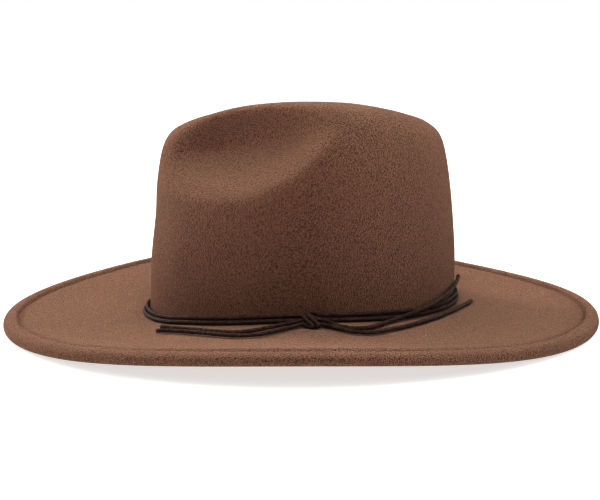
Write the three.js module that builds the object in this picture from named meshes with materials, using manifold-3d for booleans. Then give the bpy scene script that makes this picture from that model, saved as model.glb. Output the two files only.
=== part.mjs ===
// Slouch hat: a wide-brimmed felt hat with a pinched crown and a pair of leather laces tied round its foot.
// Millimetres, +Z up. The hat's front is -Y and the wearer's left, where the laces are tied, is +X.
import * as THREE from 'three';
import Module from 'manifold-3d';
import { mergeVertices } from 'three/addons/utils/BufferGeometryUtils.js';

const wasm = await Module();
wasm.setup();

// Felt
const feltThickness = 2.1;
const slices = 60;

// Foot of the crown, where the wall would meet the brim without its fillet
const foot = { front: 99.8, back: 100.6, side: 83, frontZ: 7.8, backZ: 11.2, sideZ: 14.2, fillet: 3.2 };

// The foot dips over the forehead, where the cosine of the angle from the front is above "start"
const frontDip = { start: 0.65, depth: 2.8 };

// How far the brim sags between crown and edge
const brimSag = { sideZ: 3.8, frontZ: 1.6, backZ: 1.6 };
const brimRings = [0.25, 0.5, 0.75];

// Centre line of the rolled edge, an oval that dips at the front and back and rises at the sides
const rim = { length: 189.5, width: 177.8, height: 8.83, dip: 6.39, fourth: 1.46, drift: 0.76 };

// Section of the rolled edge from the brim, over the roll, to the cut edge turned under it
const rolledEdge = [
  { out: -9.5, up: 3.3 },
  { out: -6.1, up: 2.1 },
  { out: -4.2, up: 4.0 },
  { out: -0.6, up: 4.5 },
  { out: 2.7, up: 3.3 },
  { out: 4.4, up: 0.3 },
  { out: 3.7, up: -2.7 },
  { out: 2.1, up: -4.15 },
  { out: -2.0, up: -4.3 },
  { out: -4.9, up: -3.3 },
  { out: -7.6, up: -1.7 },
];

// The roll stands lower on the wearer's left, from its groove outwards
const leftRoll = { height: 0.6, start: -8, reach: 4 };

// Crown wall: how far each ring has risen from foot to ridge, and how far it is inside the foot
const crownWall = [
  { rise: 0.12, front: 0.6, side: 0.4, back: -0.6 },
  { rise: 0.28, front: 1.4, side: 1.5, back: -0.6 },
  { rise: 0.42, front: 3.4, side: 2.9, back: 0.4 },
  { rise: 0.53, front: 5.2, side: 4.2, back: 1.4 },
  { rise: 0.60, front: 5.7, side: 5.2, back: 2.2 },
  { rise: 0.66, front: 6.1, side: 6.2, back: 3.0 },
  { rise: 0.72, front: 6.9, side: 7.3, back: 3.9 },
  { rise: 0.78, front: 8.0, side: 8.7, back: 5.0 },
  { rise: 0.84, front: 9.4, side: 10.8, back: 6.3 },
  { rise: 0.90, front: 11.7, side: 14.0, back: 8.2 },
  { rise: 0.95, front: 15.4, side: 19.0, back: 11.4 },
  { rise: 0.985, front: 20.8, side: 26.5, back: 16.4 },
  { rise: 1.0, front: 25.6, side: 37.0, back: 21.4 },
];

// Height of the ridge round the top crease, from front to back. The soft crown stands a little
// higher on the wearer's left.
const ridgeLine = [
  { y: -76, z: 128.4 },
  { y: -62, z: 132.4 },
  { y: -40, z: 136.1 },
  { y: -20, z: 137.6 },
  { y: 0, z: 138.3 },
  { y: 29, z: 138.0 },
  { y: 55, z: 135.2 },
  { y: 72, z: 132.0 },
  { y: 84, z: 128.6 },
];
const leftLift = 6;

// Top crease inside the ridge: ring size, and how far the ring has sunk from the ridge to the floor
const creaseFloor = 121;
const creaseCentre = 4;
const topCrease = [
  { size: 0.9, sunk: 0.07 },
  { size: 0.74, sunk: 0.42 },
  { size: 0.52, sunk: 0.82 },
  { size: 0.28, sunk: 0.97 },
];

// Front pinch, from front to back: ledge under the dent, its deepest line, and the share of the
// width that is pressed in at the deepest line and at the ridge
const pinch = [
  { y: -97, ledge: 83, deep: 113, squeeze: 0.05, ridgeSqueeze: 0 },
  { y: -84, ledge: 83, deep: 113, squeeze: 0.34, ridgeSqueeze: 0.15 },
  { y: -72, ledge: 82.5, deep: 113.5, squeeze: 0.53, ridgeSqueeze: 0.26 },
  { y: -56, ledge: 82.5, deep: 114.5, squeeze: 0.62, ridgeSqueeze: 0.33 },
  { y: -38, ledge: 85, deep: 116.5, squeeze: 0.59, ridgeSqueeze: 0.32 },
  { y: -16, ledge: 93.5, deep: 121.5, squeeze: 0.44, ridgeSqueeze: 0.2 },
  { y: 0, ledge: 104.5, deep: 126, squeeze: 0.25, ridgeSqueeze: 0.1 },
  { y: 13, ledge: 116, deep: 131.5, squeeze: 0.1, ridgeSqueeze: 0.03 },
  { y: 28, ledge: 126, deep: 135, squeeze: 0, ridgeSqueeze: 0 },
];

// Round leather laces
const lace = { radius: 1.25, sides: 8, step: 7, ringSteps: 56, knotGap: 0.4 };

// Where the two laces lie round the crown: degrees from the front, out from the wall and up from the foot
const upperLace = [
  { turn: 0, out: 1.75, up: 4.5 },
  { turn: 18, out: 1.75, up: 4.4 },
  { turn: 36, out: 1.85, up: 4.1 },
  { turn: 60, out: 1.75, up: 4.8 },
  { turn: 90, out: 1.75, up: 5.0 },
  { turn: 120, out: 1.75, up: 5.2 },
  { turn: 145, out: 1.75, up: 5.2 },
  { turn: 165, out: 1.75, up: 6.4 },
  { turn: 180, out: 1.75, up: 6.4 },
];
const lowerLace = [
  { turn: 0, out: 3.4, up: 1.7 },
  { turn: 18, out: 3.4, up: 1.7 },
  { turn: 36, out: 3.5, up: 1.7 },
  { turn: 60, out: 2.5, up: 2.0 },
  { turn: 90, out: 2.1, up: 2.1 },
  { turn: 120, out: 2.6, up: 1.9 },
  { turn: 150, out: 2.1, up: 2.3 },
  { turn: 180, out: 2.1, up: 2.6 },
];

// Knot on the wearer's left: a rounded core that leans out, with turns of lace over it
const knot = { x: 90.8, y: 1.5, z: 18.7, deep: 5.2, wide: 4.4, tall: 3.2, leanDegrees: 35, halfWidth: 4.3 };
const knotTurn = { shifts: [-1.2, 1.4], slant: 1.3, depth: 0.85, sweepDegrees: 150, points: 9, steps: 10 };

// Routes of the four free ends, from the knot to the cut end
const routes = {
  tail_front_upper: [
    [90.6, -3.0, 17.6], [90.8, -8.0, 16.4], [91.6, -12.8, 15.7], [93.8, -18.0, 15.2], [97.0, -23.6, 14.8],
    [100.2, -29.4, 14.4], [102.0, -35.6, 14.0], [102.0, -41.4, 13.5], [100.0, -47.0, 13.2],
    [96.4, -52.6, 12.8], [92.0, -58.2, 12.3], [87.2, -64.0, 11.8], [82.4, -70.0, 11.3], [77.8, -76.2, 10.8],
    [73.4, -82.2, 10.3], [69.2, -88.2, 9.9],
  ],
  tail_front_lower: [
    [93.3, -3.0, 15.9], [95.8, -7.6, 15.3], [98.8, -11.8, 15.0], [102.2, -16.0, 14.8], [105.8, -20.2, 14.6],
    [109.2, -24.8, 14.4], [111.8, -30.0, 14.2], [112.8, -36.0, 14.1], [111.8, -42.0, 13.8],
    [109.0, -47.6, 13.5], [105.0, -53.0, 13.1], [100.4, -58.6, 12.7], [95.4, -64.6, 12.1],
    [90.4, -71.0, 11.5], [85.8, -77.6, 11.0], [82.4, -84.0, 10.5], [79.8, -90.2, 10.0],
  ],
  tail_back_upper: [
    [91.0, 6.4, 18.2], [92.4, 10.8, 17.3], [95.2, 15.4, 16.0], [98.4, 20.4, 15.0], [100.6, 26.0, 14.5],
    [99.8, 32.0, 14.2], [95.8, 37.8, 14.0], [89.8, 43.4, 14.0], [83.2, 48.8, 14.1], [77.9, 54.4, 14.5],
    [73.6, 59.8, 15.2], [69.8, 64.8, 16.0], [65.7, 70.0, 16.9], [61.4, 75.2, 17.9], [56.0, 80.6, 19.3],
    [49.4, 85.8, 20.7], [42.0, 90.4, 21.9], [34.0, 94.6, 23.1], [25.6, 98.2, 24.6], [18.6, 100.8, 26.2],
    [12.6, 102.6, 28.0],
  ],
  tail_back_lower: [
    [93.6, 6.0, 15.9], [95.2, 10.8, 15.3], [98.4, 15.4, 14.9], [102.4, 19.6, 14.6], [106.4, 24.0, 14.3],
    [109.4, 29.2, 14.1], [109.8, 35.0, 13.9], [107.0, 40.4, 13.7], [102.4, 45.6, 13.5], [96.8, 52.0, 13.2],
    [90.6, 58.6, 12.9], [84.0, 65.0, 12.8], [76.8, 71.4, 12.7], [69.0, 77.8, 12.6], [60.4, 84.4, 12.5],
    [50.8, 91.0, 12.4], [40.4, 97.4, 12.3], [28.8, 103.8, 12.1], [15.4, 110.8, 11.8],
  ],
};

const lerp = THREE.MathUtils.lerp;
const ease = (t) => THREE.MathUtils.smoothstep(t, 0, 1);

// Smooth curve through one column of a table whose rows are sorted by their key
function along(rows, key, column, value) {
  const last = rows.length - 1;
  if (value <= rows[0][key]) return rows[0][column];
  if (value >= rows[last][key]) return rows[last][column];
  const i = rows.findIndex((row) => row[key] > value) - 1;
  const slope = (k) => {
    const a = rows[Math.max(k - 1, 0)];
    const b = rows[Math.min(k + 1, last)];
    return (b[column] - a[column]) / (b[key] - a[key]);
  };
  const span = rows[i + 1][key] - rows[i][key];
  const t = (value - rows[i][key]) / span;
  const bend = 3 * t ** 2 - 2 * t ** 3;
  return lerp(rows[i][column], rows[i + 1][column], bend)
    + (t ** 3 - 2 * t ** 2 + t) * slope(i) * span + (t ** 3 - t ** 2) * slope(i + 1) * span;
}

// Angle 0 is the front, a quarter turn the wearer's left
const frontOrBack = (angle, front, back) => (Math.cos(angle) > 0 ? front : back);

function heightRound(angle, heights) {
  const end = frontOrBack(angle, heights.frontZ, heights.backZ);
  return lerp(heights.sideZ, end, ease(Math.abs(Math.cos(angle))));
}

// Point on an oval, with its outward direction in plan
function ovalPoint(angle, width, length) {
  const s = Math.sin(angle);
  const c = Math.cos(angle);
  return {
    at: new THREE.Vector3(width * s, -length * c, 0),
    outward: new THREE.Vector3(length * s, -width * c, 0).normalize(),
  };
}

function footHeight(angle) {
  const dip = ease((Math.cos(angle) - frontDip.start) / (1 - frontDip.start));
  return heightRound(angle, foot) - frontDip.depth * dip;
}

function footPoint(angle, out, up) {
  const { at, outward } = ovalPoint(angle, foot.side, frontOrBack(angle, foot.front, foot.back));
  at.addScaledVector(outward, out);
  at.z = footHeight(angle) + up;
  return at;
}

function rimPoint(angle, out, up) {
  const { at, outward } = ovalPoint(angle, rim.width, rim.length);
  at.addScaledVector(outward, out);
  const wave = rim.drift * (Math.cos(angle) - Math.cos(3 * angle))
    - rim.dip * Math.cos(2 * angle) + rim.fourth * Math.cos(4 * angle);
  const left = ease((out - leftRoll.start) / leftRoll.reach) * Math.max(Math.sin(angle), 0) ** 2;
  const kept = up > 0 ? 1 - (1 - leftRoll.height) * left : 1;
  at.z = Math.max(rim.height + wave + up * kept, 0);
  return at;
}

function brimPoint(angle, share) {
  const inner = footPoint(angle, foot.fillet, 0);
  const outer = rimPoint(angle, rolledEdge[0].out, rolledEdge[0].up);
  const point = inner.lerp(outer, share);
  point.z -= heightRound(angle, brimSag) * 4 * share * (1 - share);
  return point;
}

function wallPoint(angle, ring) {
  const inset = frontOrBack(angle, foot.front - ring.front, foot.back - ring.back);
  const x = (foot.side - ring.side) * Math.sin(angle);
  const y = -inset * Math.cos(angle);
  const base = footHeight(angle);
  const ridge = along(ridgeLine, 'y', 'z', y) + leftLift * Math.max(Math.sin(angle), 0) ** 2;
  const z = lerp(base, ridge, ring.rise);
  const ledge = along(pinch, 'y', 'ledge', y);
  const deep = along(pinch, 'y', 'deep', y);
  const squeeze = along(pinch, 'y', 'squeeze', y);
  const below = squeeze * ease((z - ledge) / (deep - ledge));
  const above = lerp(squeeze, along(pinch, 'y', 'ridgeSqueeze', y), ((z - deep) / (ridge - deep)) ** 2);
  return new THREE.Vector3(x * (1 - (z < deep ? below : above)), y, z);
}

function creasePoint(angle, ring) {
  const ridge = wallPoint(angle, crownWall.at(-1));
  const y = lerp(creaseCentre, ridge.y, ring.size);
  return new THREE.Vector3(ridge.x * ring.size, y, lerp(ridge.z, creaseFloor, ring.sunk));
}

// Outer face of the felt as rings, from the middle of the top crease to the cut edge
function outerRings() {
  const angles = Array.from({ length: slices }, (_, k) => (2 * Math.PI * k) / slices);
  const ringOf = (point) => angles.map(point);
  const filletMiddle = foot.fillet * (1 - Math.SQRT1_2);
  return [
    ...[...topCrease].reverse().map((row) => ringOf((a) => creasePoint(a, row))),
    ...[...crownWall].reverse().map((row) => ringOf((a) => wallPoint(a, row))),
    ringOf((a) => footPoint(a, 0, foot.fillet)),
    ringOf((a) => footPoint(a, filletMiddle, filletMiddle)),
    ringOf((a) => footPoint(a, foot.fillet, 0)),
    ...brimRings.map((share) => ringOf((a) => brimPoint(a, share))),
    ...rolledEdge.map((row) => ringOf((a) => rimPoint(a, row.out, row.up))),
  ];
}

// Closed felt wall: the outer rings, the same rings moved in by the felt's thickness, and the cut edge
function feltGeometry() {
  const outer = outerRings();
  const outerPole = new THREE.Vector3(0, creaseCentre, creaseFloor);
  const last = outer.length - 1;
  const inner = outer.map((ring, i) => ring.map((point, k) => {
    const up = (i > 0 ? outer[i - 1][k] : outerPole);
    const down = outer[Math.min(i + 1, last)][k];
    const left = ring[(k + slices - 1) % slices];
    const right = ring[(k + 1) % slices];
    const normal = down.clone().sub(up).cross(right.clone().sub(left)).normalize();
    return point.clone().addScaledVector(normal, -feltThickness);
  }));
  const innerPole = outerPole.clone().setZ(creaseFloor - feltThickness);
  const rings = [...outer, ...inner.reverse()];
  const positions = [outerPole, ...rings.flat(), innerPole].flatMap((p) => p.toArray());
  const index = [];
  const vertex = (i, k) => 1 + i * slices + (k % slices);
  const end = 1 + rings.length * slices;
  for (let k = 0; k < slices; k += 1) {
    index.push(0, vertex(0, k), vertex(0, k + 1));
    for (let i = 0; i < rings.length - 1; i += 1) {
      const corners = [vertex(i, k), vertex(i + 1, k), vertex(i + 1, k + 1), vertex(i, k + 1)];
      const across = rings[i][k].distanceTo(rings[i + 1][(k + 1) % slices]);
      const other = rings[i + 1][k].distanceTo(rings[i][(k + 1) % slices]);
      const turned = across > other ? [...corners.slice(1), corners[0]] : corners;
      index.push(turned[0], turned[1], turned[2], turned[0], turned[2], turned[3]);
    }
    index.push(end, vertex(rings.length - 1, k + 1), vertex(rings.length - 1, k));
  }
  const geometry = new THREE.BufferGeometry();
  geometry.setAttribute('position', new THREE.Float32BufferAttribute(positions, 3));
  geometry.setIndex(index);
  geometry.computeVertexNormals();
  return geometry;
}

// Round lace along a route of points
function laceGeometry(points, steps) {
  const section = new THREE.Shape(Array.from({ length: lace.sides }, (_, k) => {
    const turn = (2 * Math.PI * k) / lace.sides;
    return new THREE.Vector2(lace.radius * Math.cos(turn), lace.radius * Math.sin(turn));
  }));
  const path = new THREE.CatmullRomCurve3(points);
  return new THREE.ExtrudeGeometry(section, { steps, bevelEnabled: false, extrudePath: path });
}

function tailGeometry(route) {
  const points = route.map((point) => new THREE.Vector3(...point));
  const length = new THREE.CatmullRomCurve3(points).getLength();
  return laceGeometry(points, Math.ceil(length / lace.step));
}

// Lace held round the crown, open where the knot is
function ringGeometry(rows) {
  const clear = knot.halfWidth + lace.knotGap;
  const start = Math.acos((clear - knot.y) / foot.front);
  const end = Math.acos(-(clear + knot.y) / foot.back) - 2 * Math.PI;
  const points = Array.from({ length: lace.ringSteps + 1 }, (_, k) => {
    const angle = lerp(start, end, k / lace.ringSteps);
    const turn = THREE.MathUtils.radToDeg(Math.acos(Math.cos(angle)));
    return footPoint(angle, along(rows, 'turn', 'out', turn), along(rows, 'turn', 'up', turn));
  });
  return laceGeometry(points, lace.ringSteps);
}

function toSolid(geometry) {
  const bare = geometry.clone();
  bare.deleteAttribute('normal');
  bare.deleteAttribute('uv');
  const merged = mergeVertices(bare, 1e-4);
  return new wasm.Manifold(new wasm.Mesh({
    numProp: 3,
    vertProperties: new Float32Array(merged.attributes.position.array),
    triVerts: new Uint32Array(merged.index.array),
  }));
}

function toGeometry(solid) {
  const mesh = solid.getMesh();
  const geometry = new THREE.BufferGeometry();
  geometry.setAttribute('position', new THREE.BufferAttribute(new Float32Array(mesh.vertProperties), 3));
  geometry.setIndex(new THREE.BufferAttribute(new Uint32Array(mesh.triVerts), 1));
  geometry.computeVertexNormals();
  return geometry;
}

// Core with turns of lace over it, from behind its top to behind its foot
function knotGeometry() {
  const core = new THREE.SphereGeometry(1, 12, 8);
  core.scale(knot.deep, knot.wide, knot.tall);
  const sweep = THREE.MathUtils.degToRad(knotTurn.sweepDegrees);
  const turns = knotTurn.shifts.map((shift) => {
    const points = Array.from({ length: knotTurn.points }, (_, k) => {
      const turn = lerp(sweep, -sweep, k / (knotTurn.points - 1));
      return new THREE.Vector3(
        knotTurn.depth * knot.deep * Math.cos(turn),
        shift - knotTurn.slant * Math.sin(turn),
        knotTurn.depth * knot.tall * Math.sin(turn),
      );
    });
    return toSolid(laceGeometry(points, knotTurn.steps));
  });
  const whole = turns.reduce((sum, turn) => sum.add(turn), toSolid(core));
  return toGeometry(whole)
    .rotateY(THREE.MathUtils.degToRad(knot.leanDegrees))
    .translate(knot.x, knot.y, knot.z);
}

const felt = new THREE.MeshStandardMaterial({ color: 0x8a6856, roughness: 0.95, metalness: 0 });
const leather = new THREE.MeshStandardMaterial({ color: 0x3a2b25, roughness: 0.5, metalness: 0 });

function piece(name, geometry, material) {
  const mesh = new THREE.Mesh(geometry, material);
  mesh.name = name;
  return mesh;
}

const hat = new THREE.Group();
hat.add(piece('felt_body', feltGeometry(), felt));
hat.add(piece('lace_upper', ringGeometry(upperLace), leather));
hat.add(piece('lace_lower', ringGeometry(lowerLace), leather));
hat.add(piece('knot', knotGeometry(), leather));
for (const [name, route] of Object.entries(routes)) {
  hat.add(piece(name, tailGeometry(route), leather));
}

export default hat;
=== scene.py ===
# Slouch hat of brown wool felt with a pair of dark leather laces tied round the foot of its crown.
# Sizes are millimetres unless a name says otherwise. The hat's front is -Y and the wearer's left,
# where the laces are tied, is +X.
import math

import bmesh
import bpy
from mathutils import Matrix, Vector


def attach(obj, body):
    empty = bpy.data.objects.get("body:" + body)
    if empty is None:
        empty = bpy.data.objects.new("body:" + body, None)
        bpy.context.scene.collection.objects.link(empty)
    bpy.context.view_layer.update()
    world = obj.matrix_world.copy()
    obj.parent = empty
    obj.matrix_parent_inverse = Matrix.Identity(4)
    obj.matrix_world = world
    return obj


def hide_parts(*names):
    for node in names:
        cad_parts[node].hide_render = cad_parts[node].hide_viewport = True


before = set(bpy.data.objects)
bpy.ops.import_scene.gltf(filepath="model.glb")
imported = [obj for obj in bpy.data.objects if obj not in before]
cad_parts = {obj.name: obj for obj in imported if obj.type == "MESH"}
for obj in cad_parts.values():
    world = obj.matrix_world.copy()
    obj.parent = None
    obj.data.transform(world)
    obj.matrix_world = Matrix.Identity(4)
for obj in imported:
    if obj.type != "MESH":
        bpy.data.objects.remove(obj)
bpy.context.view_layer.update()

MM = 0.001
BODY = "root"


# Shared maths

# Straight parts between two points of a curve before it is spaced evenly
CURVE_PARTS = 12


def lerp(a, b, t):
    return a + (b - a) * t


def ease(t):
    t = min(max(t, 0.0), 1.0)
    return t * t * (3 - 2 * t)


def along(rows, column, value):
    """Smooth curve through one column of a table whose rows are sorted by their first number."""
    keys = [row[0] for row in rows]
    last = len(rows) - 1
    if value <= keys[0]:
        return rows[0][column]
    if value >= keys[last]:
        return rows[last][column]
    i = max(k for k in range(last) if keys[k] <= value)

    def slope(k):
        a = rows[max(k - 1, 0)]
        b = rows[min(k + 1, last)]
        return (b[column] - a[column]) / (b[0] - a[0])

    span = keys[i + 1] - keys[i]
    t = (value - keys[i]) / span
    bend = 3 * t ** 2 - 2 * t ** 3
    start = (t ** 3 - 2 * t ** 2 + t) * slope(i) * span
    end = (t ** 3 - t ** 2) * slope(i + 1) * span
    return lerp(rows[i][column], rows[i + 1][column], bend) + start + end


def curve_through(points, step):
    """Evenly spaced points on a smooth line through the given ones."""
    points = [Vector(p) for p in points]
    ends = [points[0] * 2 - points[1], *points, points[-1] * 2 - points[-2]]
    dense = []
    for a, b, c, d in zip(ends, ends[1:], ends[2:], ends[3:]):
        for k in range(CURVE_PARTS):
            t = k / CURVE_PARTS
            dense.append(0.5 * (2 * b + (c - a) * t + (2 * a - 5 * b + 4 * c - d) * t ** 2
                                + (3 * b - a - 3 * c + d) * t ** 3))
    dense.append(points[-1])
    lengths = [(q - p).length for p, q in zip(dense, dense[1:])]
    total = sum(lengths)
    count = max(2, round(total / step))
    spaced = []
    i = 0
    passed = 0.0
    for k in range(count):
        goal = total * k / count
        while passed + lengths[i] < goal:
            passed += lengths[i]
            i += 1
        spaced.append(dense[i].lerp(dense[i + 1], (goal - passed) / lengths[i]))
    spaced.append(dense[-1])
    return spaced


def finished(name, bm, slot, material, *nodes):
    """Turns a bmesh into a piece that stands for the named parts of the frame."""
    mesh = bpy.data.meshes.new(name)
    bm.to_mesh(mesh)
    bm.free()
    mesh.shade_smooth()
    mesh.materials.append(material)
    piece = bpy.data.objects.new(name, mesh)
    bpy.context.scene.collection.objects.link(piece)
    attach(piece, BODY)
    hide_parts(*nodes)
    return piece


# Camera at the photo's angle

# Lengths, and angles in degrees
CAMERA = {"distance": 850, "height": 189.2, "turn": -2.24, "pitch": 9.67, "roll": -0.38, "aside": -0.6}
LENS = 78.46
SENSOR_WIDTH = 36

# What is nearer to the camera isn't drawn
NEAREST_SEEN = 20


def make_camera():
    turn, pitch, roll = (math.radians(CAMERA[key]) for key in ("turn", "pitch", "roll"))
    away = Vector((math.cos(turn), math.sin(turn), 0))
    right = Vector((-math.sin(turn), math.cos(turn), 0))
    ahead = -away * math.cos(pitch) - Vector((0, 0, math.sin(pitch)))
    up = right.cross(ahead)
    across = right * math.cos(roll) + up * math.sin(roll)
    upright = up * math.cos(roll) - right * math.sin(roll)
    place = away * CAMERA["distance"] + right * CAMERA["aside"] + Vector((0, 0, CAMERA["height"]))
    data = bpy.data.cameras.new("camera")
    data.lens = LENS
    data.sensor_width = SENSOR_WIDTH
    data.clip_start = NEAREST_SEEN * MM
    camera = bpy.data.objects.new("camera", data)
    axes = Matrix((across, upright, -ahead)).transposed().to_4x4()
    camera.matrix_world = Matrix.Translation(place * MM) @ axes
    bpy.context.scene.collection.objects.link(camera)
    bpy.context.scene.camera = camera


make_camera()


# Materials

class Signal:
    """A socket of a material. Arithmetic on it adds the Math nodes."""

    def __init__(self, finish, socket):
        self.finish = finish
        self.socket = socket

    def maths(self, operation, first, second):
        return self.finish.node("ShaderNodeMath", {"operation": operation}, {0: first, 1: second})

    def __add__(self, other):
        return self.maths("ADD", self, other)

    __radd__ = __add__

    def __sub__(self, other):
        return self.maths("SUBTRACT", self, other)

    def __rsub__(self, other):
        return self.maths("SUBTRACT", other, self)

    def __mul__(self, other):
        return self.maths("MULTIPLY", self, other)

    __rmul__ = __mul__


class Finish:
    """The nodes of a material or of the room round the hat, all added by one method."""

    def __init__(self, owner):
        self.owner = owner
        owner.use_nodes = True
        self.tree = owner.node_tree

    def node(self, kind, settings=None, inputs=None, output=0):
        made = self.tree.nodes.new(kind)
        for key, value in (settings or {}).items():
            setattr(made, key, value)
        for key, value in (inputs or {}).items():
            self.feed(made.inputs[key], value)
        return Signal(self, made.outputs[output])

    def feed(self, socket, value):
        if isinstance(value, Signal):
            self.tree.links.new(value.socket, socket)
        else:
            socket.default_value = value

    def surface(self, **inputs):
        shader = self.tree.nodes["Principled BSDF"]
        for key, value in inputs.items():
            self.feed(shader.inputs[key.replace("_", " ").title().replace("Ior", "IOR")], value)
        return self.owner

    def mix(self, share, first, second):
        return self.node("ShaderNodeMix", {"data_type": "RGBA"}, {0: share, 6: first, 7: second}, 2)

    def noise(self, place, scale, detail, roughness=0.5, distortion=0.0):
        """Noise on both sides of zero, with its scale as waves in a metre."""
        inputs = {"Vector": place, "Scale": scale, "Detail": detail, "Roughness": roughness,
                  "Distortion": distortion}
        return self.node("ShaderNodeTexNoise", {}, inputs) - 0.5

    def stretched(self, place, turn, scale):
        """The place turned, then scaled by a factor for each axis."""
        turned = self.node("ShaderNodeMapping", {}, {"Vector": place, "Rotation": turn})
        return self.node("ShaderNodeMapping", {}, {"Vector": turned, "Scale": scale})

    def bump(self, height, depth):
        return self.node("ShaderNodeBump", {}, {"Strength": 1.0, "Distance": depth, "Height": height})


def colour(red, green, blue):
    return (red, green, blue, 1.0)


# Felt: waves in a metre for each of its patterns, how much each shows in the colour, and its share
# of the nap. Lengths are metres here, and shades are linear colours.
FELT_SCALE = {"matting": 1650, "fibres": 2200, "blotches": 150, "clouds": 24}
FELT_CONTRAST = {"matting": 3.6, "fibres": 3.0, "blotches": 0.15, "clouds": 0.8}
FELT_RELIEF = {"matting": 0.7, "fibres": 0.45, "blotches": 0.25}
FELT_WAVER = 0.5

# How the fibres lie, as turns in radians, and how long they are beside their width
FIBRE_TURNS = [(0.3, 0.5, 0.9), (1.2, -0.4, 0.2), (-0.5, 1.3, 2.1)]
FIBRE_STRETCH = (1.0, 0.3, 1.0)

# Usual share of the light shade in the melange, and of the warm shade over it
LIGHT_SHARE = 0.5
WARM_SHARE = 0.12
FELT_DARK = colour(0.090, 0.0343, 0.0212)
FELT_LIGHT = colour(0.375, 0.175, 0.112)
FELT_WARM = colour(0.24, 0.100, 0.060)
FELT_SHEEN = colour(0.92, 0.655, 0.48)
FELT_NAP = 0.003


def wool_felt():
    """Brown wool felt: matted fibres of two shades with a short nap."""
    felt = Finish(bpy.data.materials.new("wool_felt"))
    place = felt.node("ShaderNodeTexCoord", output=3)
    matting = felt.noise(place, FELT_SCALE["matting"], detail=0, distortion=FELT_WAVER)
    fibres = 0.0
    for turn in FIBRE_TURNS:
        lie = felt.stretched(place, turn, FIBRE_STRETCH)
        fibres = felt.noise(lie, FELT_SCALE["fibres"], detail=0, distortion=FELT_WAVER) + fibres
    clouds = felt.noise(place, FELT_SCALE["clouds"], detail=3)
    blotches = felt.noise(place, FELT_SCALE["blotches"], detail=3, roughness=0.6)
    melange = (matting * FELT_CONTRAST["matting"] + fibres * FELT_CONTRAST["fibres"]
               + blotches * FELT_CONTRAST["blotches"] + LIGHT_SHARE)
    shade = felt.mix(melange, FELT_DARK, FELT_LIGHT)
    shade = felt.mix(clouds * FELT_CONTRAST["clouds"] + WARM_SHARE, shade, FELT_WARM)
    height = (matting * FELT_RELIEF["matting"] + fibres * FELT_RELIEF["fibres"]
              + blotches * FELT_RELIEF["blotches"])
    return felt.surface(base_color=shade, roughness=0.95, specular_ior_level=0.1,
                        normal=felt.bump(height, FELT_NAP), sheen_weight=0.6, sheen_roughness=0.45,
                        sheen_tint=FELT_SHEEN)


# Laces: their pattern follows the place on the lace, with its length along the third axis
LACE_PLACE = "lace_place"
LEATHER_SCALE = {"creases": 1400, "pores": 1600, "rubbed": 260}
LEATHER_CONTRAST = {"creases": 1.5, "pores": 1.5, "rubbed": 0.5}
LEATHER_RELIEF = {"creases": 0.8, "pores": 0.5}
LEATHER_WAVER = 0.4
CREASE_STRETCH = (1.0, 1.0, 0.35)
RUBBED_SHARE = 0.42
LEATHER_ROUGHNESS = 0.78
CREASE_ROUGHNESS = 0.3
LEATHER_DARK = colour(0.010, 0.0055, 0.0042)
LEATHER_LIGHT = colour(0.125, 0.070, 0.052)
LEATHER_CREASE = 0.0003


def round_leather():
    """Dark brown round leather lace: fine lengthwise creases, a waxed face and rubbed high spots."""
    leather = Finish(bpy.data.materials.new("round_leather"))
    place = leather.node("ShaderNodeAttribute", {"attribute_name": LACE_PLACE}, output=1)
    lengthwise = leather.stretched(place, (0, 0, 0), CREASE_STRETCH)
    creases = leather.noise(lengthwise, LEATHER_SCALE["creases"], detail=1, distortion=LEATHER_WAVER)
    pores = leather.noise(place, LEATHER_SCALE["pores"], detail=0, distortion=LEATHER_WAVER)
    rubbed = leather.noise(place, LEATHER_SCALE["rubbed"], detail=3, roughness=0.6)
    wear = (creases * LEATHER_CONTRAST["creases"] + pores * LEATHER_CONTRAST["pores"]
            + rubbed * LEATHER_CONTRAST["rubbed"] + RUBBED_SHARE)
    shade = leather.mix(wear, LEATHER_DARK, LEATHER_LIGHT)
    roughness = creases * CREASE_ROUGHNESS + LEATHER_ROUGHNESS
    height = creases * LEATHER_RELIEF["creases"] + pores * LEATHER_RELIEF["pores"]
    return leather.surface(base_color=shade, roughness=roughness, specular_ior_level=0.14,
                           normal=leather.bump(height, LEATHER_CREASE))


felt_finish = wool_felt()
leather_finish = round_leather()


# Laces: one round section swept along a line

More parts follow.
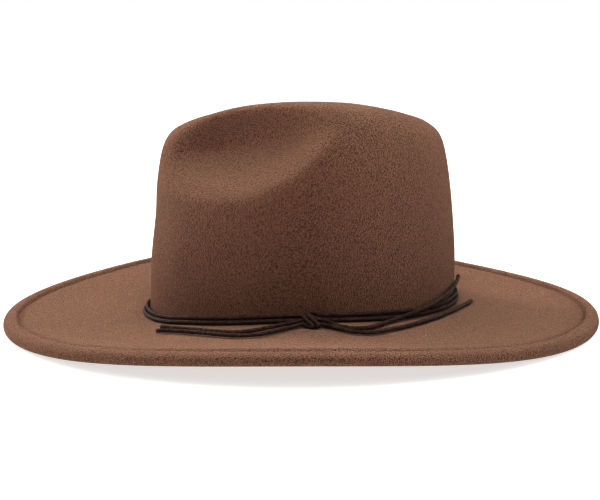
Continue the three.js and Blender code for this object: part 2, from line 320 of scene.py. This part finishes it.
LACE = {"radius": 1.25, "sides": 16, "step": 1.3}
TAIL_ROUTES = {
    "tail_front_upper": [
        (90.6, -3.0, 17.6), (90.8, -8.0, 16.4), (91.6, -12.8, 15.7), (93.8, -18.0, 15.2),
        (97.0, -23.6, 14.8), (100.2, -29.4, 14.4), (102.0, -35.6, 14.0), (102.0, -41.4, 13.5),
        (100.0, -47.0, 13.2), (96.4, -52.6, 12.8), (92.0, -58.2, 12.3), (87.2, -64.0, 11.8),
        (82.4, -70.0, 11.3), (77.8, -76.2, 10.8), (73.4, -82.2, 10.3), (69.2, -88.2, 9.9),
    ],
    "tail_front_lower": [
        (93.3, -3.0, 15.9), (95.8, -7.6, 15.3), (98.8, -11.8, 15.0), (102.2, -16.0, 14.8),
        (105.8, -20.2, 14.6), (109.2, -24.8, 14.4), (111.8, -30.0, 14.2), (112.8, -36.0, 14.1),
        (111.8, -42.0, 13.8), (109.0, -47.6, 13.5), (105.0, -53.0, 13.1), (100.4, -58.6, 12.7),
        (95.4, -64.6, 12.1), (90.4, -71.0, 11.5), (85.8, -77.6, 11.0), (82.4, -84.0, 10.5),
        (79.8, -90.2, 10.0),
    ],
    "tail_back_upper": [
        (91.0, 6.4, 18.2), (92.4, 10.8, 17.3), (95.2, 15.4, 16.0), (98.4, 20.4, 15.0),
        (100.6, 26.0, 14.5), (99.8, 32.0, 14.2), (95.8, 37.8, 14.0), (89.8, 43.4, 14.0),
        (83.2, 48.8, 14.1), (77.9, 54.4, 14.5), (73.6, 59.8, 15.2), (69.8, 64.8, 16.0),
        (65.7, 70.0, 16.9), (61.4, 75.2, 17.9), (56.0, 80.6, 19.3), (49.4, 85.8, 20.7),
        (42.0, 90.4, 21.9), (34.0, 94.6, 23.1), (25.6, 98.2, 24.6), (18.6, 100.8, 26.2),
        (12.6, 102.6, 28.0),
    ],
    "tail_back_lower": [
        (93.6, 6.0, 15.9), (95.2, 10.8, 15.3), (98.4, 15.4, 14.9), (102.4, 19.6, 14.6),
        (106.4, 24.0, 14.3), (109.4, 29.2, 14.1), (109.8, 35.0, 13.9), (107.0, 40.4, 13.7),
        (102.4, 45.6, 13.5), (96.8, 52.0, 13.2), (90.6, 58.6, 12.9), (84.0, 65.0, 12.8),
        (76.8, 71.4, 12.7), (69.0, 77.8, 12.6), (60.4, 84.4, 12.5), (50.8, 91.0, 12.4),
        (40.4, 97.4, 12.3), (28.8, 103.8, 12.1), (15.4, 110.8, 11.8),
    ],
}


def sweep_lace(bm, line):
    """Extrudes a ring of lace along a line of points and closes both cut ends."""
    store = bm.verts.layers.float_vector.get(LACE_PLACE) or bm.verts.layers.float_vector.new(LACE_PLACE)
    last = len(line) - 1
    ways = [(line[min(i + 1, last)] - line[max(i - 1, 0)]).normalized() for i in range(len(line))]
    radius = LACE["radius"]
    start = Matrix.Translation(line[0]) @ ways[0].to_track_quat("Z", "X").to_matrix().to_4x4()
    ring = bmesh.ops.create_circle(bm, segments=LACE["sides"], radius=radius, matrix=start)["verts"]
    for k, vertex in enumerate(ring):
        turn = 2 * math.pi * k / LACE["sides"]
        vertex[store] = Vector((radius * math.cos(turn), radius * math.sin(turn), 0)) * MM
    edges = list({edge for vertex in ring for edge in vertex.link_edges})
    first = edges
    passed = 0.0
    for i in range(1, len(line)):
        grown = bmesh.ops.extrude_edge_only(bm, edges=edges)["geom"]
        ring = [part for part in grown if isinstance(part, bmesh.types.BMVert)]
        edges = [part for part in grown if isinstance(part, bmesh.types.BMEdge)]
        turn = ways[i - 1].rotation_difference(ways[i]).to_matrix()
        bmesh.ops.rotate(bm, verts=ring, cent=line[i - 1], matrix=turn)
        bmesh.ops.translate(bm, verts=ring, vec=line[i] - line[i - 1])
        passed += (line[i] - line[i - 1]).length * MM
        for vertex in ring:
            vertex[store] = Vector((vertex[store].x, vertex[store].y, passed))
    for edge_loop in (first, edges):
        bmesh.ops.holes_fill(bm, edges=edge_loop, sides=0)


def to_metres(bm):
    bmesh.ops.scale(bm, verts=bm.verts, vec=(MM, MM, MM))
    bmesh.ops.recalc_face_normals(bm, faces=bm.faces)


def make_tails():
    for name, route in TAIL_ROUTES.items():
        line = curve_through(route, LACE["step"])
        bm = bmesh.new()
        sweep_lace(bm, line)
        to_metres(bm)
        tail = finished(name + "_lace", bm, "lace", leather_finish, name)
        length = sum((b - a).length for a, b in zip(line, line[1:]))
        line[0] * MM
        [p * MM for p in line]


make_tails()


# Felt: crown, brim and rolled edge from the same sizes and tables as the frame's solid

FELT_THICKNESS = 2.1
FELT_SLICES = 120
FOOT = {"front": 99.8, "back": 100.6, "side": 83, "front_z": 7.8, "back_z": 11.2, "side_z": 14.2,
        "fillet": 3.2}
FILLET_STEPS = 4
BRIM_SHARES = [0.05, 0.12, 0.2, 0.3, 0.4, 0.5, 0.6, 0.7, 0.8, 0.9]
BRIM_SAG = {"side_z": 3.8, "front_z": 1.6, "back_z": 1.6}

# The foot dips over the forehead, where the cosine of the angle from the front is above "start"
FRONT_DIP = {"start": 0.65, "depth": 2.8}
RIM = {"length": 189.5, "width": 177.8, "height": 8.83, "dip": 6.39, "fourth": 1.46, "drift": 0.76}

# Rolled edge, as out and up from the rim's centre line: pressed groove, roll and turned-under edge
ROLLED_EDGE = [
    (-9.5, 3.3), (-7.6, 2.65), (-6.3, 2.0), (-5.6, 1.9), (-5.1, 2.5), (-4.6, 3.4), (-3.9, 4.1),
    (-2.6, 4.5), (-0.6, 4.55), (1.2, 4.15), (2.9, 3.1), (4.0, 1.5), (4.4, -0.3), (4.2, -1.9),
    (3.5, -3.3), (2.1, -4.15), (-2.0, -4.3), (-4.9, -3.3), (-7.6, -1.7),
]
ROLL_STEP = 0.8

# The roll stands lower on the wearer's left, from its groove outwards
LEFT_ROLL = {"height": 0.6, "start": -8, "reach": 4}

# Crown wall: rise from foot to ridge, then how far inside the foot it is at front, side and back
CROWN_WALL = [
    (0.0, 0.0, 0.0, 0.0),
    (0.12, 0.6, 0.4, -0.6),
    (0.28, 1.4, 1.5, -0.6),
    (0.42, 3.4, 2.9, 0.4),
    (0.53, 5.2, 4.2, 1.4),
    (0.60, 5.7, 5.2, 2.2),
    (0.66, 6.1, 6.2, 3.0),
    (0.72, 6.9, 7.3, 3.9),
    (0.78, 8.0, 8.7, 5.0),
    (0.84, 9.4, 10.8, 6.3),
    (0.90, 11.7, 14.0, 8.2),
    (0.95, 15.4, 19.0, 11.4),
    (0.985, 20.8, 26.5, 16.4),
    (1.0, 25.6, 37.0, 21.4),
]
WALL_RISES = [
    0.06, 0.12, 0.18, 0.24, 0.30, 0.36, 0.42, 0.48, 0.53, 0.57, 0.60, 0.63, 0.66, 0.69, 0.72, 0.75,
    0.78, 0.81, 0.84, 0.87, 0.90, 0.925, 0.95, 0.97, 0.985, 0.995, 1.0,
]

# Height of the ridge round the top crease, from front to back. The soft crown stands a little
# higher on the wearer's left.
RIDGE_LINE = [
    (-76, 128.4), (-62, 132.4), (-40, 136.1), (-20, 137.6), (0, 138.3), (29, 138.0), (55, 135.2),
    (72, 132.0), (84, 128.6),
]
LEFT_LIFT = 6

# Top crease: ring size, and how far the ring has sunk from the ridge to the floor
CREASE_FLOOR = 121
CREASE_CENTRE = 4
TOP_CREASE = [(0.0, 1.0), (0.28, 0.97), (0.52, 0.82), (0.74, 0.42), (0.9, 0.07), (1.0, 0.0)]
CREASE_SIZES = [0.1, 0.2, 0.3, 0.4, 0.5, 0.6, 0.68, 0.76, 0.83, 0.89, 0.95]

# Front pinch from front to back: ledge, deepest line, squeeze there and squeeze at the ridge
PINCH = [
    (-97, 83, 113, 0.05, 0),
    (-84, 83, 113, 0.34, 0.15),
    (-72, 82.5, 113.5, 0.53, 0.26),
    (-56, 82.5, 114.5, 0.62, 0.33),
    (-38, 85, 116.5, 0.59, 0.32),
    (-16, 93.5, 121.5, 0.44, 0.2),
    (0, 104.5, 126, 0.25, 0.1),
    (13, 116, 131.5, 0.1, 0.03),
    (28, 126, 135, 0, 0),
]


# Points of the spun disc that are closer than this are merged, with one ring as the unit
SEAM_GAP = 0.001

# A face above this height belongs to the crown's top and has to look up
CROWN_TOP = 120


def front_or_back(angle, front, back):
    return front if math.cos(angle) > 0 else back


def height_round(angle, heights):
    end = front_or_back(angle, heights["front_z"], heights["back_z"])
    return lerp(heights["side_z"], end, ease(abs(math.cos(angle))))


def foot_height(angle):
    dip = ease((math.cos(angle) - FRONT_DIP["start"]) / (1 - FRONT_DIP["start"]))
    return height_round(angle, FOOT) - FRONT_DIP["depth"] * dip


def oval_point(angle, width, length, out):
    s = math.sin(angle)
    c = math.cos(angle)
    outward = Vector((length * s, -width * c, 0)).normalized()
    return Vector((width * s, -length * c, 0)) + outward * out


def foot_point(angle, out, up):
    point = oval_point(angle, FOOT["side"], front_or_back(angle, FOOT["front"], FOOT["back"]), out)
    point.z = foot_height(angle) + up
    return point


def rim_point(angle, out, up):
    if up > 0:
        share = ease((out - LEFT_ROLL["start"]) / LEFT_ROLL["reach"]) * max(math.sin(angle), 0) ** 2
        up *= 1 - (1 - LEFT_ROLL["height"]) * share
    point = oval_point(angle, RIM["width"], RIM["length"], out)
    wave = (RIM["drift"] * (math.cos(angle) - math.cos(3 * angle)) - RIM["dip"] * math.cos(2 * angle)
            + RIM["fourth"] * math.cos(4 * angle))
    point.z = max(RIM["height"] + wave + up, 0.0)
    return point


def brim_point(angle, share):
    inner = foot_point(angle, FOOT["fillet"], 0)
    point = inner.lerp(rim_point(angle, *ROLLED_EDGE[0]), share)
    point.z -= height_round(angle, BRIM_SAG) * 4 * share * (1 - share)
    return point


def wall_point(angle, rise):
    front, side, back = (along(CROWN_WALL, column, rise) for column in (1, 2, 3))
    reach = front_or_back(angle, FOOT["front"] - front, FOOT["back"] - back)
    x = (FOOT["side"] - side) * math.sin(angle)
    y = -reach * math.cos(angle)
    ridge = along(RIDGE_LINE, 1, y) + LEFT_LIFT * max(math.sin(angle), 0) ** 2
    z = lerp(foot_height(angle), ridge, rise)
    ledge, deep, squeeze, ridge_squeeze = (along(PINCH, column, y) for column in (1, 2, 3, 4))
    if z < deep:
        pressed = squeeze * ease((z - ledge) / (deep - ledge))
    else:
        pressed = lerp(squeeze, ridge_squeeze, ((z - deep) / (ridge - deep)) ** 2)
    return Vector((x * (1 - pressed), y, z))


def crease_point(angle, size):
    ridge = wall_point(angle, 1.0)
    sunk = along(TOP_CREASE, 1, size)
    y = lerp(CREASE_CENTRE, ridge.y, size)
    return Vector((ridge.x * size, y, lerp(ridge.z, CREASE_FLOOR, sunk)))


def felt_rings():
    """One function of the angle for each ring, from the middle of the top crease to the cut edge."""
    rings = [lambda a: Vector((0, CREASE_CENTRE, CREASE_FLOOR))]
    rings += [lambda a, size=size: crease_point(a, size) for size in CREASE_SIZES]
    rings += [lambda a, rise=rise: wall_point(a, rise) for rise in reversed(WALL_RISES)]
    for k in range(FILLET_STEPS + 1):
        turn = math.pi / 2 * k / FILLET_STEPS
        out = FOOT["fillet"] * (1 - math.cos(turn))
        up = FOOT["fillet"] * (1 - math.sin(turn))
        rings.append(lambda a, out=out, up=up: foot_point(a, out, up))
    rings += [lambda a, share=share: brim_point(a, share) for share in BRIM_SHARES]
    section = curve_through([(out, up, 0) for out, up in ROLLED_EDGE], ROLL_STEP)
    rings += [lambda a, at=at: rim_point(a, at.x, at.y) for at in section]
    return rings


def make_felt():
    """A profile spun into a disc of rings, which are then blocked to the hat's shape."""
    rings = felt_rings()
    bm = bmesh.new()
    profile = [bm.verts.new((i, 0, 0)) for i in range(len(rings))]
    edges = [bm.edges.new(pair) for pair in zip(profile, profile[1:])]
    bmesh.ops.spin(bm, geom=profile + edges, cent=(0, 0, 0), axis=(0, 0, 1), angle=2 * math.pi,
                   steps=FELT_SLICES, use_merge=True)
    bmesh.ops.remove_doubles(bm, verts=bm.verts, dist=SEAM_GAP)
    for vertex in bm.verts:
        angle = math.atan2(vertex.co.y, vertex.co.x)
        vertex.co = rings[round(vertex.co.xy.length)](angle)
    to_metres(bm)
    top = [face for face in bm.faces if face.calc_center_median().z > CROWN_TOP * MM]
    if sum(face.normal.z for face in top) < 0:
        bmesh.ops.reverse_faces(bm, faces=bm.faces)
    body = finished("felt", bm, "felt", felt_finish, "felt_body")
    wall = body.modifiers.new("felt wall", "SOLIDIFY")
    wall.thickness = FELT_THICKNESS * MM
    wall.offset = -1
    wall.use_even_offset = True
    smooth = body.modifiers.new("smooth", "SUBSURF")
    smooth.levels = 1
    smooth.render_levels = 1


make_felt()


# Laces held round the crown, and the knot

# Angle from the front, then how far the lace is outside the crown's foot and above it
UPPER_LACE = [
    (0, 1.75, 4.5), (18, 1.75, 4.4), (36, 1.85, 4.1), (60, 1.75, 4.8), (90, 1.75, 5.0),
    (120, 1.75, 5.2), (145, 1.75, 5.2), (165, 1.75, 6.4), (180, 1.75, 6.4),
]
LOWER_LACE = [
    (0, 3.4, 1.7), (18, 3.4, 1.7), (36, 3.5, 1.7), (60, 2.5, 2.0), (90, 2.1, 2.1), (120, 2.6, 1.9),
    (150, 2.1, 2.3), (180, 2.1, 2.6),
]
BAND_STEPS = 180

# Where the laces run into the knot, from the hat's middle towards its back
KNOT_SIDES = (-3.2, 6.2)


def ring_line(rows):
    """Line from the knot over the forehead and round the back of the crown to the knot again."""
    start = math.acos(KNOT_SIDES[0] / -FOOT["front"])
    end = math.acos(KNOT_SIDES[1] / -FOOT["back"]) - 2 * math.pi
    points = []
    for k in range(BAND_STEPS + 1):
        angle = lerp(start, end, k / BAND_STEPS)
        turn = math.degrees(math.acos(math.cos(angle)))
        points.append(foot_point(angle, along(rows, 1, turn), along(rows, 2, turn)))
    return curve_through(points, LACE["step"])


def make_band():
    for name, rows in (("lace_upper", UPPER_LACE), ("lace_lower", LOWER_LACE)):
        bm = bmesh.new()
        sweep_lace(bm, ring_line(rows))
        to_metres(bm)
        finished("band_" + name, bm, "lace", leather_finish, name)


make_band()

# A half knot of both laces. The first two strands run through it from the front to the tails at
# the back, and the other two come from the back, pass over them and leave as the tails at the front.
KNOT_STRANDS = [
    [(84.8, -3.2, 19.2), (86.8, -1.4, 19.0), (89.0, 1.0, 18.5), (90.4, 3.8, 18.5), (91.0, 6.4, 18.2)],
    [(85.1, -3.2, 16.3), (87.6, -1.8, 16.4), (90.2, 0.4, 16.2), (92.2, 3.2, 16.2), (93.6, 6.0, 15.9)],
    [(84.8, 6.2, 19.2), (86.0, 4.6, 20.9), (87.8, 2.2, 21.9), (90.2, 0.4, 22.0), (92.6, 0.6, 21.2),
     (94.8, 2.4, 19.6), (96.6, 4.6, 17.6), (97.5, 6.0, 15.8), (96.6, 5.4, 14.9), (95.0, 3.4, 14.8),
     (93.0, 0.8, 15.5), (91.2, -1.6, 16.8), (90.6, -3.0, 17.6)],
    [(85.1, 6.2, 16.3), (86.2, 4.0, 18.4), (87.4, 1.0, 19.8), (89.2, -1.2, 20.4), (91.6, -1.6, 19.8),
     (94.0, -0.4, 18.3), (96.2, 1.6, 16.7), (97.4, 3.2, 15.2), (96.6, 2.4, 14.6), (95.2, -0.2, 14.9),
     (93.3, -3.0, 15.9)],
]
KNOT_STEP = 0.5


def make_knot():
    bm = bmesh.new()
    for strand in KNOT_STRANDS:
        sweep_lace(bm, curve_through(strand, KNOT_STEP))
    to_metres(bm)
    finished("knot_strands", bm, "lace", leather_finish, "knot")


make_knot()


# Floor and light, in metres

FLOOR_RADIUS = 40
FLOOR_SIDES = 96
FLOOR_SHADE = colour(0.52, 0.52, 0.52)
# The floor's glow is painted light: near the hat it lifts the hat's shadow on the floor and lights the
# hat's underside
NEAR_GLOW = colour(0.72, 0.72, 0.72)

# A touch over white, which keeps the far floor plain white
FAR_GLOW = colour(1.04, 1.04, 1.04)

# Distances from the hat between which the floor's glow grows
FLOOR_FADE = (0.5, 1.5)


def make_floor():
    """Pale paper with painted light: the floor glows, less near the hat, where the glow lifts the hat's
    shadow and lights the hat from below, and further away it is as bright as the room behind it.
    """
    bm = bmesh.new()
    bmesh.ops.create_circle(bm, cap_ends=True, segments=FLOOR_SIDES, radius=FLOOR_RADIUS)
    mesh = bpy.data.meshes.new("floor")
    bm.to_mesh(mesh)
    bm.free()
    paper = Finish(bpy.data.materials.new("glowing_pale_paper"))
    place = paper.node("ShaderNodeTexCoord", output=3)
    away = paper.node("ShaderNodeVectorMath", {"operation": "LENGTH"}, {0: place}, 1)
    fade = paper.node("ShaderNodeMapRange", {"interpolation_type": "SMOOTHSTEP"},
                      {"Value": away, "From Min": FLOOR_FADE[0], "From Max": FLOOR_FADE[1]})
    glow = paper.mix(fade, NEAR_GLOW, FAR_GLOW)
    mesh.materials.append(paper.surface(base_color=FLOOR_SHADE, roughness=0.9, specular_ior_level=0.1,
                                        emission_color=glow, emission_strength=1.0))
    floor = bpy.data.objects.new("floor", mesh)
    bpy.context.scene.collection.objects.link(floor)


# Far soft lights: where each comes from, its spread in degrees and its power
SKY_LIGHTS = {
    "sky_behind": ((-0.58, 0, 1), 60, 1.0),
    "sky_before": ((1.2, 0, 1), 60, 0.34),
}

# Softboxes near the hat: place, aim, size and power
SOFTBOXES = {
    "overhead": ((0.1, 0, 0.7), (0, 0, 0.08), (0.5, 0.9), 5.15),
    "strip_front_far": ((-0.9, -1.1, 0.55), (0, 0, 0.08), (0.5, 1.0), 28.5),
    "strip_back_far": ((-0.9, 1.1, 0.55), (0, 0, 0.08), (0.5, 1.0), 10),
    "strip_front": ((0.1, -1.3, 0.5), (0, 0, 0.08), (0.5, 1.0), 6.3),
    "strip_back": ((0.1, 1.3, 0.5), (0, 0, 0.08), (0.5, 1.0), 7.9),
    "high_before": ((0.9, 0, 0.9), (0, 0, 0.08), (0.6, 1.0), 4.15),
}

# Gamma of the view, which gives the picture a studio photo's contrast
VIEW_GAMMA = 0.735


def link_light(data, place, aim=(0, 0, 0)):
    light = bpy.data.objects.new(data.name, data)
    facing = (Vector(aim) - Vector(place)).to_track_quat("-Z", "Y").to_matrix().to_4x4()
    light.matrix_world = Matrix.Translation(place) @ facing
    bpy.context.scene.collection.objects.link(light)


def make_lights():
    for name, (place, spread, power) in SKY_LIGHTS.items():
        data = bpy.data.lights.new(name, "SUN")
        data.energy = power
        data.angle = math.radians(spread)
        link_light(data, place)
    for name, (place, aim, size, power) in SOFTBOXES.items():
        data = bpy.data.lights.new(name, "AREA")
        data.shape = "RECTANGLE"
        data.size, data.size_y = size
        data.energy = power
        link_light(data, place, aim)


def make_room():
    """White where the camera looks past the floor, and dark otherwise."""
    world = bpy.data.worlds.new("studio")
    room = Finish(world)
    backdrop = room.tree.nodes["Background"]
    room.feed(backdrop.inputs["Color"], colour(1, 1, 1))
    room.feed(backdrop.inputs["Strength"], room.node("ShaderNodeLightPath"))
    bpy.context.scene.world = world
    bpy.context.scene.view_settings.view_transform = "Standard"
    bpy.context.scene.view_settings.gamma = VIEW_GAMMA


make_floor()
make_lights()
make_room()
